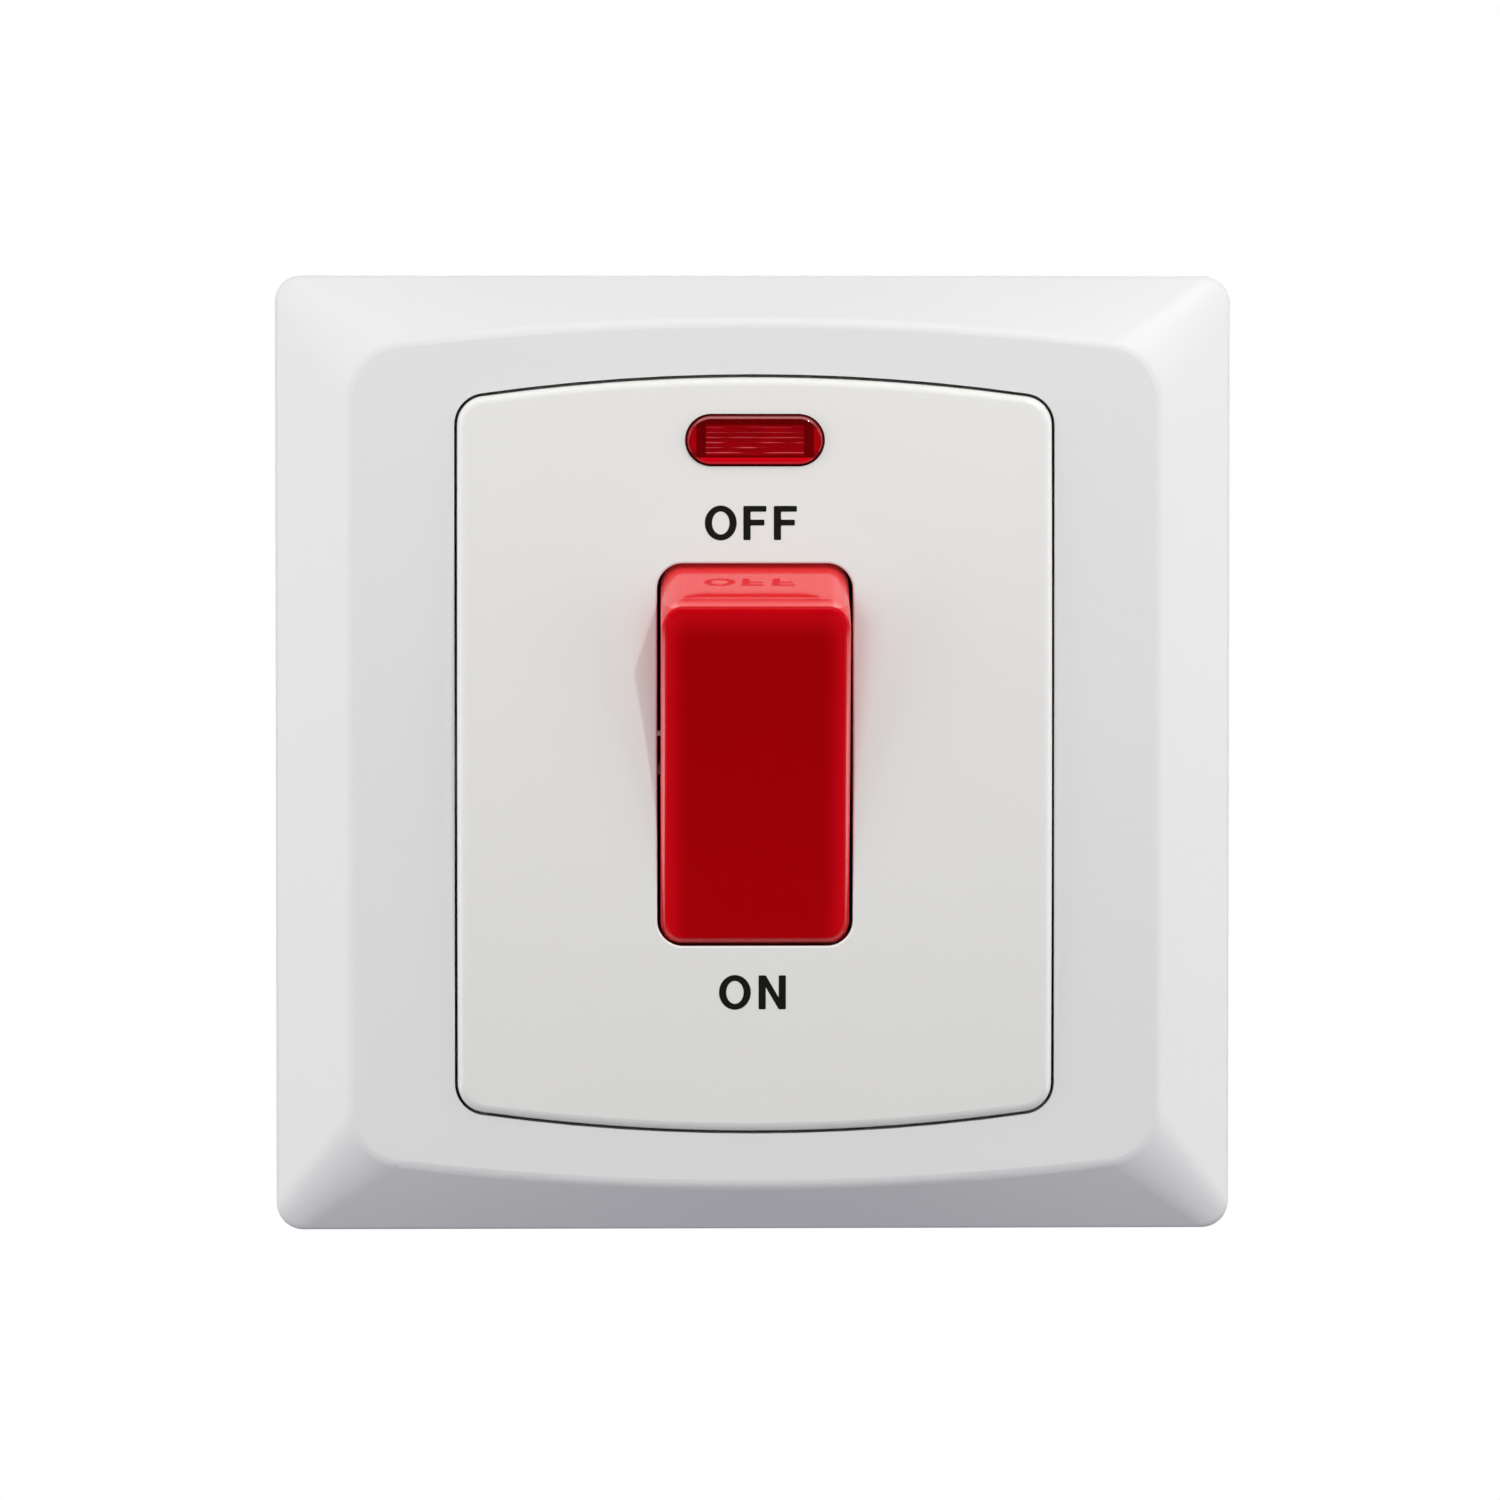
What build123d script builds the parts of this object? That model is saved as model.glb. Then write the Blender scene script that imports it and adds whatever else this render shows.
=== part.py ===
from build123d import *
import os
from math import acos, cos, hypot, radians, sqrt, tan

# Double pole rocker switch on a square flush plate, in millimetres.
# Modelled lying on its back: x to the right, y up the plate, z out of the wall, wall plane at z = 0.
# The finished pieces are stood up, so that +Z is up and the front faces -Y.

# Surround: the snap-on outer frame
SURROUND_SIZE = 86.0
SURROUND_CORNER = 2.4
SURROUND_EDGE = 3.2
SURROUND_RIM_R = 0.8
SURROUND_WALL = 2.0
PLATEAU_HEIGHT = 8.2
BEVEL_SIDE = 6.8
BEVEL_END = 4.25
CREST_ARC_R = 246.0
CREST_CORNER = 5.0
CREST_SOFTNESS = 1.3
CREST_SOFT_SHARE = 0.8
LIP_WALL = 1.5
LIP_DEPTH = 1.8
LEG_SPACING = 40.0
LEG_WIDTH = 6.0
LEG_THICKNESS = 1.3
LEG_BARB = 0.7
LEG_CLEARANCE = 0.2
LEG_TOE = 0.3

# Centre plate, its skirt and its fixing flange
CENTRE_WIDTH = 53.2
CENTRE_HEIGHT = 67.5
CENTRE_ARC_R = 174.0
CENTRE_CORNER = 2.6
CENTRE_FACE = 9.4
CENTRE_PANEL = 2.4
CENTRE_EDGE_R = 0.8
CENTRE_GAP = 0.25
CROWN_R = 650.0
SKIRT_WALL = 2.0
SHARP_CORNER = 0.3
FLANGE_THICKNESS = 2.5
FLANGE_GAP = 1.2
FLANGE_CORNER = 2.0
CATCH_DEPTH = 1.2
FIXING_CENTRES = 60.3
FIXING_HOLE_D = 4.2
FIXING_HEAD_D = 7.4

# Rocker and the aperture that it stands in
APERTURE_WIDTH = 17.5
APERTURE_MARGIN = 16.65
APERTURE_CORNER = 2.3
APERTURE_EDGE_R = 0.2
PIVOT_DEPTH = 10.3
ROCKER_TRAVEL = 17.4
ROCKER_STAND = 1.9
ROCKER_SIDE_GAP = 0.3
ROCKER_END_GAP = 0.55
ROCKER_END_TILT = 60.8
ROCKER_END_BLEND = 8.0
ROCKER_SWEEP_GAP = 0.3
ROCKER_DISH_R = 320.0
ROCKER_WALL = 2.0
ROCKER_CORNER = 2.0
ROCKER_EDGE_R = 0.7
ROCKER_SKIRT = 1.0
HUB_D = 7.2
PIN_D = 3.2
PIN_FIT = 0.05
BEARING_THICKNESS = 2.2
BEARING_WIDTH = 8.0
BEARING_DEPTH = 3.5
BEARING_GAP = 0.3
ROCKER_FLOAT = 0.25
KEEPER_GAP = 0.15

# Plungers and springs in the rocker's legs
LEG_TUBE_D = 5.6
LEG_TUBE_LENGTH = 8.0
LEG_TUBE_INSET = 0.6
PLUNGER_D = 3.2
PLUNGER_FIT = 0.1
PLUNGER_DROP = 9.5
PLUNGER_LENGTH = 5.0
BORE_TOP = 1.0
SPRING_WIRE_D = 0.45
SPRING_TURNS = 5
SPRING_GAP = 0.25

# See-saw contacts
SEESAW_SWING = 16.0
SEESAW_WIDTH = 6.0
SEESAW_THICKNESS = 1.2
SEESAW_TAIL = 6.5
SEESAW_LIFT = 0.25
SEESAW_CORNER = 1.5
SEESAW_END_GAP = 0.5
SEESAW_SIDE_GAP = 0.35
PLUNGER_TIP_GAP = 0.08
FULCRUM_R = 0.8
FULCRUM_FIT = 0.05
TIP_D = 4.0
TIP_THICKNESS = 1.0
CONTACT_GAP = 0.05
STRIP_WIDTH = 5.0
STRIP_THICKNESS = 1.5
STRIP_ENTRY = 1.0
STRIP_FIT = 0.05
STRIP_BEND_R = 0.8

# Terminals and their clamp screws
TERMINAL_WIDTH = 10.5
TERMINAL_LENGTH = 13.5
TERMINAL_FRONT_WALL = 1.5
TERMINAL_THREAD_WALL = 3.9
TERMINAL_EDGE = 0.4
TERMINAL_FIT = 0.15
TERMINAL_RECESS = 0.4
CABLE_BORE_D = 6.2
CABLE_BORE_DEPTH = 11.5
STRIP_COVER = 0.25
CLAMP_SCREW_D = 4.4
CLAMP_SCREW_SPACING = 6.2
CLAMP_SCREW_MIDDLE = 7.2
CLAMP_SCREW_BACKOFF = 2.4
CLAMP_SCREW_TIP_GAP = 0.25
CLAMP_HEAD_D = 5.8
CLAMP_HEAD_THICKNESS = 2.2
SCREW_SLOT_WIDTH = 0.9
SCREW_SLOT_DEPTH = 1.0
SCREW_FIT = 0.05
HEAD_CLEARANCE = 0.3
HEAD_RECESS = 0.4

# Rear housing and its screws
HOUSING_SIDE_GAP = 3.85
HOUSING_END_GAP = 2.75
HOUSING_WALL = 1.8
HOUSING_CORNER = 1.5
HOUSING_EDGE_R = 0.8
HOUSING_FLANGE = 2.6
HOUSING_FLANGE_FIT = 0.3
POCKET_WALL = 1.2
STEP_WALL = 1.9
DIVIDER_WALL = 1.8
GUIDE_WALL = 1.4
GUIDE_HEIGHT = 2.5
GUIDE_LENGTH = 11.0
POST_D = 5.0
POST_END = -4.0
POST_GAP = 0.15
HOUSING_SCREW_D = 2.6
HOUSING_SCREW_GRIP = 6.5
HOUSING_SCREW_SEAT = 3.2
HOUSING_HEAD_D = 5.4
HOUSING_HEAD_THICKNESS = 2.0

# Neon indicator
LENS_WIDTH = 12.3
LENS_HEIGHT = 4.5
LENS_INSET = 5.65
LENS_STAND = 0.45
LENS_EDGE_R = 0.4
LENS_FIT = 0.1
LENS_RIM = 0.8
LENS_RIM_THICKNESS = 0.9
LENS_PANEL = 1.2
LENS_END_WALL = 0.85
LENS_SIDE_WALL = 0.65
LENS_HOLLOW_CORNER = 0.5
LENS_RIB_COUNT = 6
LENS_RIB_PITCH = 0.45
LENS_RIB_D = 0.22
LENS_RIB_LENGTH = 8.8
LAMP_D = 3.4
LAMP_LENGTH = 9.0
LAMP_PINCH = 1.6
LAMP_PINCH_D = 2.6
LAMP_GAP = 0.4
LAMP_FIT = 0.15
LEAD_D = 0.9
LEAD_GAP = 0.3
LEAD_SPREAD = 1.2
LEAD_BEND_R = 0.8
RESISTOR_D = 2.3
RESISTOR_LENGTH = 6.0
RESISTOR_STAND = 1.2

# Levels worked out from the sizes above
half_travel = ROCKER_TRAVEL / 2
half_swing = SEESAW_SWING / 2
plate_ceiling = CENTRE_FACE - CENTRE_PANEL
pivot_z = CENTRE_FACE - PIVOT_DEPTH
seesaw_depth = SEESAW_THICKNESS / cos(radians(half_swing))
seesaw_drop = PLUNGER_DROP + PLUNGER_D / 2 + PLUNGER_TIP_GAP + seesaw_depth + SEESAW_LIFT
fulcrum_z = pivot_z - seesaw_drop
closed_arm_z = fulcrum_z + SEESAW_LIFT * cos(radians(half_swing))
fixed_tip_z = closed_arm_z - TIP_THICKNESS - CONTACT_GAP
strip_z = fixed_tip_z - TIP_THICKNESS
cell_floor = strip_z - STRIP_THICKNESS
bore_z = strip_z + STRIP_COVER + CABLE_BORE_D / 2
terminal_front = bore_z + CABLE_BORE_D / 2 + TERMINAL_FRONT_WALL
terminal_rear = bore_z - CABLE_BORE_D / 2 - TERMINAL_THREAD_WALL
tray_floor = terminal_front + TERMINAL_FIT + HOUSING_WALL
clamp_head_z = terminal_rear - CLAMP_SCREW_BACKOFF
housing_rear = clamp_head_z - CLAMP_HEAD_THICKNESS - HEAD_RECESS
lens_back = plate_ceiling - LENS_RIM_THICKNESS
lamp_z = lens_back - LAMP_GAP - LAMP_D / 2

# Crest of the surround, as far in from its edge as the bevel runs
crest_width = SURROUND_SIZE - 2 * BEVEL_SIDE
crest_height = SURROUND_SIZE - 2 * BEVEL_END
crest_soft = min(CREST_SOFTNESS, CREST_SOFT_SHARE * min(BEVEL_SIDE, BEVEL_END))

# Places across the plate
housing_x = CENTRE_WIDTH / 2 - SKIRT_WALL - HOUSING_SIDE_GAP
cell_x = housing_x - HOUSING_WALL
bearing_x = cell_x - BEARING_GAP - BEARING_THICKNESS
hub_x = bearing_x - ROCKER_FLOAT
pole_x = hub_x - LEG_TUBE_D / 2 - LEG_TUBE_INSET
paddle_x = APERTURE_WIDTH / 2 - ROCKER_SIDE_GAP
leg_x = (CENTRE_WIDTH / 2 + CENTRE_GAP + LIP_WALL + crest_width / 2) / 2

# Places up the plate
housing_y = CENTRE_HEIGHT / 2 - SKIRT_WALL - HOUSING_END_GAP
terminal_outer = housing_y - TERMINAL_RECESS
terminal_inner = terminal_outer - TERMINAL_LENGTH
terminal_y = (terminal_outer + terminal_inner) / 2
cell_y = terminal_inner - TERMINAL_FIT - POCKET_WALL
seesaw_reach = cell_y - SEESAW_END_GAP
contact_y = seesaw_reach - TIP_D / 2
lens_y = CENTRE_HEIGHT / 2 - LENS_INSET
post_y = lens_y - LENS_HEIGHT / 2 - LENS_RIM - POST_GAP - POST_D / 2

# Rocker form about its pivot: round ends, dished face between them
aperture_height = CENTRE_HEIGHT - 2 * APERTURE_MARGIN
face_rise = PIVOT_DEPTH + ROCKER_STAND
edge_depth = PIVOT_DEPTH - (aperture_height / 2) ** 2 / (2 * CROWN_R)
rocker_end_r = hypot(aperture_height / 2 - ROCKER_END_GAP, edge_depth)
face_half = sqrt(rocker_end_r**2 - face_rise**2)
flat_spread = radians(ROCKER_END_TILT) - acos(face_rise / rocker_end_r)
flat_reach = rocker_end_r * cos(flat_spread)
flat_foot = rocker_end_r * cos(radians(ROCKER_END_TILT) + flat_spread)
dish_centre = face_rise + sqrt(ROCKER_DISH_R**2 - face_half**2)

POLES = {"live": 1, "neutral": -1}
OVERCUT = 1.0


def span_box(x, y, z):
    """Box between a pair of limits along each axis."""
    centre = [(low + high) / 2 for low, high in (x, y, z)]
    size = [high - low for low, high in (x, y, z)]
    return Pos(*centre) * Box(*size)


def rod_x(diameter, x, y, z):
    """Round bar along x between two limits."""
    return Pos((x[0] + x[1]) / 2, y, z) * Rot(0, 90, 0) * Cylinder(diameter / 2, x[1] - x[0])


def rod_y(diameter, x, y, z):
    """Round bar along y between two limits."""
    return Pos(x, (y[0] + y[1]) / 2, z) * Rot(90, 0, 0) * Cylinder(diameter / 2, y[1] - y[0])


def rod_z(diameter, x, y, z):
    """Round bar along z between two limits."""
    return Pos(x, y, (z[0] + z[1]) / 2) * Cylinder(diameter / 2, z[1] - z[0])


def slab(outline, low, high):
    """Flat outline drawn out between two heights."""
    return Pos(0, 0, low) * extrude(outline, high - low)


def level_edges(shape, height):
    """Edges that lie flat at one height."""
    return shape.edges().filter_by_position(Axis.Z, height - 0.001, height + 0.001)


def arch_outline(width, height, arc_r, corner):
    """Straight sides, bowed top and bottom, rounded corners."""
    half_w = width / 2
    half_h = height / 2
    shoulder = half_h - arc_r + sqrt(arc_r**2 - half_w**2)
    right = Line((half_w, -shoulder), (half_w, shoulder))
    top = ThreePointArc((half_w, shoulder), (0, half_h), (-half_w, shoulder))
    left = Line((-half_w, shoulder), (-half_w, -shoulder))
    bottom = ThreePointArc((-half_w, -shoulder), (0, -half_h), (half_w, -shoulder))
    face = make_face([right, top, left, bottom])
    return fillet(face.vertices(), corner)


def centre_outline(offset=0.0):
    """Outline of the centre plate, grown or shrunk evenly."""
    corner = max(CENTRE_CORNER + offset, SHARP_CORNER)
    return arch_outline(
        CENTRE_WIDTH + 2 * offset, CENTRE_HEIGHT + 2 * offset, CENTRE_ARC_R + offset, corner
    )


def rocker_sweep(gap):
    """Space that the rocker's round ends and corners sweep, with a gap all round."""
    drum = rod_x(2 * (rocker_end_r + gap), (-paddle_x - gap, paddle_x + gap), 0, pivot_z)
    return fillet(drum.edges().filter_by(GeomType.CIRCLE), ROCKER_CORNER + gap)


def set_rocker(shape):
    """Puts a shape drawn about the rocker's pivot in place, switched on."""
    return Pos(0, 0, pivot_z) * Rot(half_travel, 0, 0) * shape


def set_seesaw(shape, side):
    """Puts a shape drawn about the fulcrum in place on one pole, contacts closed."""
    return Pos(side * pole_x, 0, fulcrum_z) * Rot(-half_swing, 0, 0) * shape


def surround_frame():
    base = RectangleRounded(SURROUND_SIZE, SURROUND_SIZE, SURROUND_CORNER)
    crest = arch_outline(crest_width, crest_height, CREST_ARC_R, CREST_CORNER)
    bevel = loft([Pos(0, 0, SURROUND_EDGE) * base, Pos(0, 0, PLATEAU_HEIGHT) * crest], ruled=True)
    frame = extrude(base, SURROUND_EDGE) + bevel
    frame = fillet(level_edges(frame, PLATEAU_HEIGHT), crest_soft)
    frame = fillet(level_edges(frame, SURROUND_EDGE), SURROUND_RIM_R)

    # Hollow back, one wall thick under the bevel and the land
    inner_size = SURROUND_SIZE - 2 * SURROUND_WALL
    inner_edge = SURROUND_EDGE - 0.45 * SURROUND_WALL
    crest_inset = 0.4 * SURROUND_WALL
    ceiling = PLATEAU_HEIGHT - SURROUND_WALL
    inner_base = RectangleRounded(inner_size, inner_size, SHARP_CORNER)
    inner_crest = arch_outline(
        crest_width - 2 * crest_inset, crest_height - 2 * crest_inset, CREST_ARC_R, CREST_CORNER
    )
    frame -= slab(inner_base, -OVERCUT, inner_edge)
    frame -= loft([Pos(0, 0, inner_edge) * inner_base, Pos(0, 0, ceiling) * inner_crest], ruled=True)

    # Lip round the opening for the centre plate
    frame += slab(centre_outline(CENTRE_GAP + LIP_WALL), ceiling - LIP_DEPTH, ceiling)
    frame -= slab(centre_outline(CENTRE_GAP), -OVERCUT, PLATEAU_HEIGHT + OVERCUT)

    # Four snap legs with barbs that catch under the fixing flange
    half = LEG_THICKNESS / 2
    catch = CATCH_DEPTH - LEG_CLEARANCE / 2
    profile = Polyline(
        (-half, ceiling),
        (-half, LEG_TOE),
        (half, LEG_TOE),
        (half + LEG_BARB, catch),
        (half, catch),
        (half, ceiling),
        close=True,
    )
    leg = extrude(Plane.XZ * make_face(profile), LEG_WIDTH / 2, both=True)
    for y in (-LEG_SPACING / 2, LEG_SPACING / 2):
        right = Pos(leg_x, y, 0) * leg
        frame += [right, mirror(right, Plane.YZ)]
    return frame


def front_plate():
    # Crowned centre plate with a rounded edge
    crown = Pos(0, CENTRE_FACE - CROWN_R) * Circle(CROWN_R)
    crown &= Rectangle(2 * CENTRE_HEIGHT, 2 * CENTRE_FACE)
    plate = slab(centre_outline(), 0, CENTRE_FACE + OVERCUT)
    plate &= extrude(Plane.YZ * crown, CENTRE_WIDTH, both=True)
    face = plate.faces().sort_by(Axis.Z)[-1]
    plate = fillet(face.edges(), CENTRE_EDGE_R)

    # Fixing flange and the hollow behind the face
    flange_size = SURROUND_SIZE - 2 * (SURROUND_WALL + FLANGE_GAP)
    plate += slab(RectangleRounded(flange_size, flange_size, FLANGE_CORNER), 0, FLANGE_THICKNESS)
    plate -= slab(centre_outline(-SKIRT_WALL), -OVERCUT, plate_ceiling)

    # Posts for the housing screws and cheeks for the rocker's pins
    post_span = (POST_END, plate_ceiling)
    for y in (-post_y, post_y):
        plate += rod_z(POST_D, 0, y, post_span)
        pilot_end = POST_END + HOUSING_SCREW_GRIP + SCREW_FIT
        plate -= rod_z(HOUSING_SCREW_D + 2 * SCREW_FIT, 0, y, (POST_END - OVERCUT, pilot_end))
    for side in (-1, 1):
        x = sorted((side * bearing_x, side * (bearing_x + BEARING_THICKNESS)))
        low = pivot_z - BEARING_DEPTH
        slot = PIN_D / 2 + PIN_FIT
        cut_x = (x[0] - OVERCUT, x[1] + OVERCUT)
        plate += span_box(x, (-BEARING_WIDTH / 2, BEARING_WIDTH / 2), (low, plate_ceiling))
        plate -= rod_x(2 * slot, cut_x, 0, pivot_z)
        plate -= span_box(cut_x, (-slot, slot), (low - OVERCUT, pivot_z))

    # Aperture, relieved behind for the swing of the rocker
    aperture = RectangleRounded(APERTURE_WIDTH, aperture_height, APERTURE_CORNER)
    plate -= slab(aperture, pivot_z, CENTRE_FACE + OVERCUT)
    rim_z = CENTRE_FACE - (aperture_height / 2) ** 2 / (2 * CROWN_R)
    rim = [
        edge
        for edge in plate.edges().filter_by_position(Axis.Z, rim_z - 0.01, CENTRE_FACE + 0.01)
        if abs(edge.center().X) < APERTURE_WIDTH / 2 + 0.01
        and abs(edge.center().Y) < aperture_height / 2 + 0.01
    ]
    plate = fillet(rim, APERTURE_EDGE_R)
    plate -= rocker_sweep(ROCKER_SWEEP_GAP)

    # Opening for the lens
    lens_hole = SlotOverall(LENS_WIDTH + 2 * LENS_FIT, LENS_HEIGHT + 2 * LENS_FIT)
    plate -= slab(Pos(0, lens_y) * lens_hole, lens_back, CENTRE_FACE + OVERCUT)

    # Fixing holes, room for their screw heads, and catches for the surround
    for side in (-1, 1):
        x = side * FIXING_CENTRES / 2
        plate -= rod_z(FIXING_HOLE_D, x, 0, (-OVERCUT, FLANGE_THICKNESS + OVERCUT))
        plate -= rod_z(FIXING_HEAD_D, x, 0, (FLANGE_THICKNESS, plate_ceiling - SKIRT_WALL))
        for y in (-LEG_SPACING / 2, LEG_SPACING / 2):
            slot_y = (y - LEG_WIDTH / 2 - LEG_CLEARANCE, y + LEG_WIDTH / 2 + LEG_CLEARANCE)
            near = side * (leg_x - LEG_THICKNESS / 2 - LEG_CLEARANCE)
            far = side * (leg_x + LEG_THICKNESS / 2 + LEG_CLEARANCE)
            under = side * (leg_x + LEG_THICKNESS / 2 + LEG_BARB + LEG_CLEARANCE)
            plate -= span_box(sorted((near, far)), slot_y, (-OVERCUT, FLANGE_THICKNESS + OVERCUT))
            plate -= span_box(sorted((near, under)), slot_y, (-OVERCUT, CATCH_DEPTH))
    return plate


def rocker():
    # Paddle: round ends about the pivot, each with a flat down from the dished face
    height = face_rise - ROCKER_SKIRT
    profile = Circle(rocker_end_r)
    profile &= Pos(0, ROCKER_SKIRT + height / 2) * Rectangle(3 * rocker_end_r, height)
    profile -= Pos(0, dish_centre) * Circle(ROCKER_DISH_R)
    beyond = Pos(flat_reach + rocker_end_r, 0) * Rectangle(2 * rocker_end_r, 2 * rocker_end_r)
    for turn in (90 - ROCKER_END_TILT, 90 + ROCKER_END_TILT):
        profile -= Rot(0, 0, turn) * beyond
    feet = [vertex for vertex in profile.vertices() if abs(vertex.Y - flat_foot) < 0.01]
    profile = fillet(feet, ROCKER_END_BLEND)
    body = extrude(Plane.YZ * profile, paddle_x, both=True)
    ends = [
        edge
        for edge in body.edges()
        if abs(abs(edge.center().X) - paddle_x) < 0.01 and abs(edge.center().Y) > face_half / 2
    ]
    body = fillet(ends, ROCKER_CORNER)
    face = body.faces().sort_by(Axis.Z)[-1]
    body = fillet(face.edges(), ROCKER_EDGE_R)
    dish_low = dish_centre - ROCKER_DISH_R
    inner_height = dish_low - ROCKER_WALL
    hollow = Circle(rocker_end_r - ROCKER_WALL)
    hollow &= Pos(0, inner_height / 2) * Rectangle(3 * rocker_end_r, inner_height)
    body -= extrude(Plane.YZ * hollow, paddle_x - ROCKER_WALL, both=True)

    # Hub with its two pivot pins, and a leg tube over each pole
    pin_x = bearing_x + BEARING_THICKNESS
    body += rod_x(HUB_D, (-hub_x, hub_x), 0, 0)
    body += rod_x(PIN_D, (-pin_x, pin_x), 0, 0)
    for side in POLES.values():
        body += rod_z(LEG_TUBE_D, side * pole_x, 0, (-LEG_TUBE_LENGTH, 0))
        bore = PLUNGER_D + 2 * PLUNGER_FIT
        body -= rod_z(bore, side * pole_x, 0, (-LEG_TUBE_LENGTH - OVERCUT, BORE_TOP))
    return set_rocker(body)


def plunger(side):
    top = PLUNGER_LENGTH - PLUNGER_DROP
    body = rod_z(PLUNGER_D, 0, 0, (-PLUNGER_DROP, top))
    body += Pos(0, 0, -PLUNGER_DROP) * Sphere(PLUNGER_D / 2)
    return set_rocker(Pos(side * pole_x, 0, 0) * body)


def plunger_spring(side):
    low = PLUNGER_LENGTH - PLUNGER_DROP + SPRING_WIRE_D / 2
    height = BORE_TOP - SPRING_WIRE_D / 2 - low
    coil_r = PLUNGER_D / 2 + PLUNGER_FIT - SPRING_GAP - SPRING_WIRE_D / 2
    path = Helix(height / SPRING_TURNS, height, coil_r)
    section = Plane(path @ 0, z_dir=path % 0) * Circle(SPRING_WIRE_D / 2)
    coil = sweep(section, path=path, is_frenet=True)
    return set_rocker(Pos(side * pole_x, 0, low) * coil)


def moving_contact(side):
    # Strip bent to a shallow V, so that the closing arm lies square on the fixed contact
    slope = tan(radians(half_swing))
    low_tail = SEESAW_LIFT + SEESAW_TAIL * slope
    low_arm = SEESAW_LIFT + seesaw_reach * slope
    profile = Polyline(
        (-SEESAW_TAIL, low_tail),
        (0, SEESAW_LIFT),
        (seesaw_reach, low_arm),
        (seesaw_reach, low_arm + seesaw_depth),
        (0, SEESAW_LIFT + seesaw_depth),
        (-SEESAW_TAIL, low_tail + seesaw_depth),
        close=True,
    )
    strip = extrude(Plane.YZ * make_face(profile), SEESAW_WIDTH / 2, both=True)
    strip = fillet(strip.edges().filter_by(Axis.Z), SEESAW_CORNER)
    groove = 2 * (FULCRUM_R + FULCRUM_FIT)
    strip -= rod_x(groove, (-SEESAW_WIDTH, SEESAW_WIDTH), 0, 0)
    return set_seesaw(strip, side)


def moving_tip(side):
    return rod_z(TIP_D, side * pole_x, contact_y, (closed_arm_z - TIP_THICKNESS, closed_arm_z))


def fixed_tip(side):
    return rod_z(TIP_D, side * pole_x, contact_y, (strip_z, fixed_tip_z))


def strip_x(side):
    return (side * pole_x - STRIP_WIDTH / 2, side * pole_x + STRIP_WIDTH / 2)


def fulcrum_strip(side):
    # Strip from the supply terminal, folded up into a round-topped knife edge
    x = strip_x(side)
    strip = span_box(x, (-terminal_inner - STRIP_ENTRY, FULCRUM_R), (cell_floor, strip_z))
    strip += span_box(x, (-FULCRUM_R, FULCRUM_R), (strip_z, fulcrum_z))
    strip += rod_x(2 * FULCRUM_R, x, 0, fulcrum_z)
    inside = [
        edge
        for edge in level_edges(strip, strip_z).filter_by(Axis.X)
        if abs(edge.center().Y + FULCRUM_R) < 0.01
    ]
    return fillet(inside, STRIP_BEND_R)


def contact_strip(side):
    near = contact_y - TIP_D / 2 - STRIP_FIT
    return span_box(strip_x(side), (near, terminal_inner + STRIP_ENTRY), (cell_floor, strip_z))


def clamp_screw_places():
    """Distances of a terminal's two clamp screws from the middle of the plate."""
    middle = terminal_outer - CLAMP_SCREW_MIDDLE
    return (middle - CLAMP_SCREW_SPACING / 2, middle + CLAMP_SCREW_SPACING / 2)


def terminal(side, end):
    # Brass block with a blind cable bore, two tapped holes and a slot for its strip
    half = TERMINAL_WIDTH / 2
    block = span_box((-half, half), (terminal_inner, terminal_outer), (terminal_rear, terminal_front))
    block = chamfer(block.edges(), TERMINAL_EDGE)
    bore_y = (terminal_outer - CABLE_BORE_DEPTH, terminal_outer + OVERCUT)
    block -= rod_y(CABLE_BORE_D, 0, bore_y, bore_z)
    for y in clamp_screw_places():
        block -= rod_z(CLAMP_SCREW_D + 2 * SCREW_FIT, 0, y, (terminal_rear - OVERCUT, bore_z))
    slot = STRIP_WIDTH / 2 + STRIP_FIT
    slot_y = (terminal_inner - OVERCUT, terminal_inner + STRIP_ENTRY)
    block -= span_box((-slot, slot), slot_y, (cell_floor - STRIP_FIT, strip_z + STRIP_FIT))
    if end < 0:
        block = mirror(block, Plane.XZ)
    return Pos(side * pole_x, 0, 0) * block


def slotted_screw(shank_d, shank_z, head_d, head_thickness):
    """Screw along z with its slotted head at the rear."""
    rear = shank_z[0] - head_thickness
    body = rod_z(shank_d, 0, 0, shank_z) + rod_z(head_d, 0, 0, (rear, shank_z[0]))
    slot = SCREW_SLOT_WIDTH / 2
    slot_z = (rear - OVERCUT, rear + SCREW_SLOT_DEPTH)
    return body - span_box((-head_d, head_d), (-slot, slot), slot_z)


def terminal_screws():
    tip = bore_z - CABLE_BORE_D / 2 - CLAMP_SCREW_TIP_GAP
    screw = slotted_screw(CLAMP_SCREW_D, (clamp_head_z, tip), CLAMP_HEAD_D, CLAMP_HEAD_THICKNESS)
    places = [
        (side * pole_x, end * y)
        for side in POLES.values()
        for end in (-1, 1)
        for y in clamp_screw_places()
    ]
    return Compound([Pos(x, y, 0) * screw for x, y in places])


def housing_screws():
    seat = POST_END - HOUSING_SCREW_SEAT
    shank_z = (seat, POST_END + HOUSING_SCREW_GRIP)
    screw = slotted_screw(HOUSING_SCREW_D, shank_z, HOUSING_HEAD_D, HOUSING_HEAD_THICKNESS)
    return Compound([Pos(0, y, 0) * screw for y in (-post_y, post_y)])


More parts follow.
